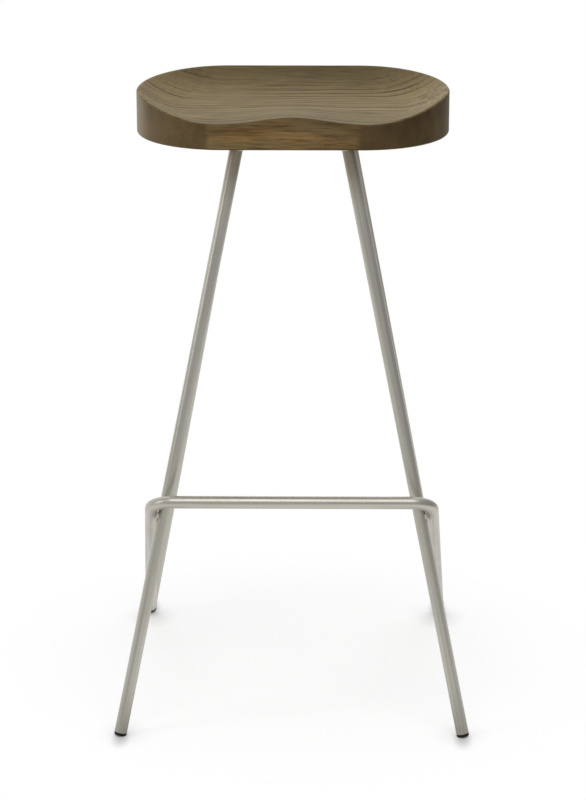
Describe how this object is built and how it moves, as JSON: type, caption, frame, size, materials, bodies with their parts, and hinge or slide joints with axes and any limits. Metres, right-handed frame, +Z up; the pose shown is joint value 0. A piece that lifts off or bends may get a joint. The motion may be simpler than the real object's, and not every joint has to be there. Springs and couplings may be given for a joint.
{
  "type": "counter stool",
  "caption": "Backless counter stool: a carved wooden saddle seat on splayed, welded round-tube legs, with a bent tube footrest whose arms run back to the floor as the rear feet.",
  "frame": {"origin": "on the floor, in the middle of the stool's overall width and depth", "axes": "+Z up; the front of the stool, with the footrest bar, faces -Y; +X is to the right as seen from the front"},
  "size_m": [0.3874, 0.371, 0.6852],
  "materials": {
    "seat": "dark grey-brown stain, matt",
    "tube": "satin, brushed along the tube",
    "plate": "dark oxide, satin",
    "weld": "bright bead",
    "glide": "moulded, matt",
    "insert": "plain",
    "fastener": "zinc plated"
  },
  "bodies": {
    "root": {"seat": "seat", "seat_plate": "plate", "leg_front_left": "tube", "leg_front_right": "tube", "leg_rear_left": "tube", "leg_rear_right": "tube", "footrest": "tube", "footrest_weld_left": "weld", "footrest_weld_right": "weld", "rear_weld_left": "weld", "rear_weld_right": "weld", "plate_weld_front_left": "weld", "plate_weld_front_right": "weld", "plate_weld_rear_left": "weld", "plate_weld_rear_right": "weld", "glide_front_left": "glide", "glide_front_right": "glide", "glide_rear_left": "glide", "glide_rear_right": "glide", "seat_inserts": "insert", "seat_washers": "fastener", "seat_screws": "fastener"}
  },
  "joints": []
}
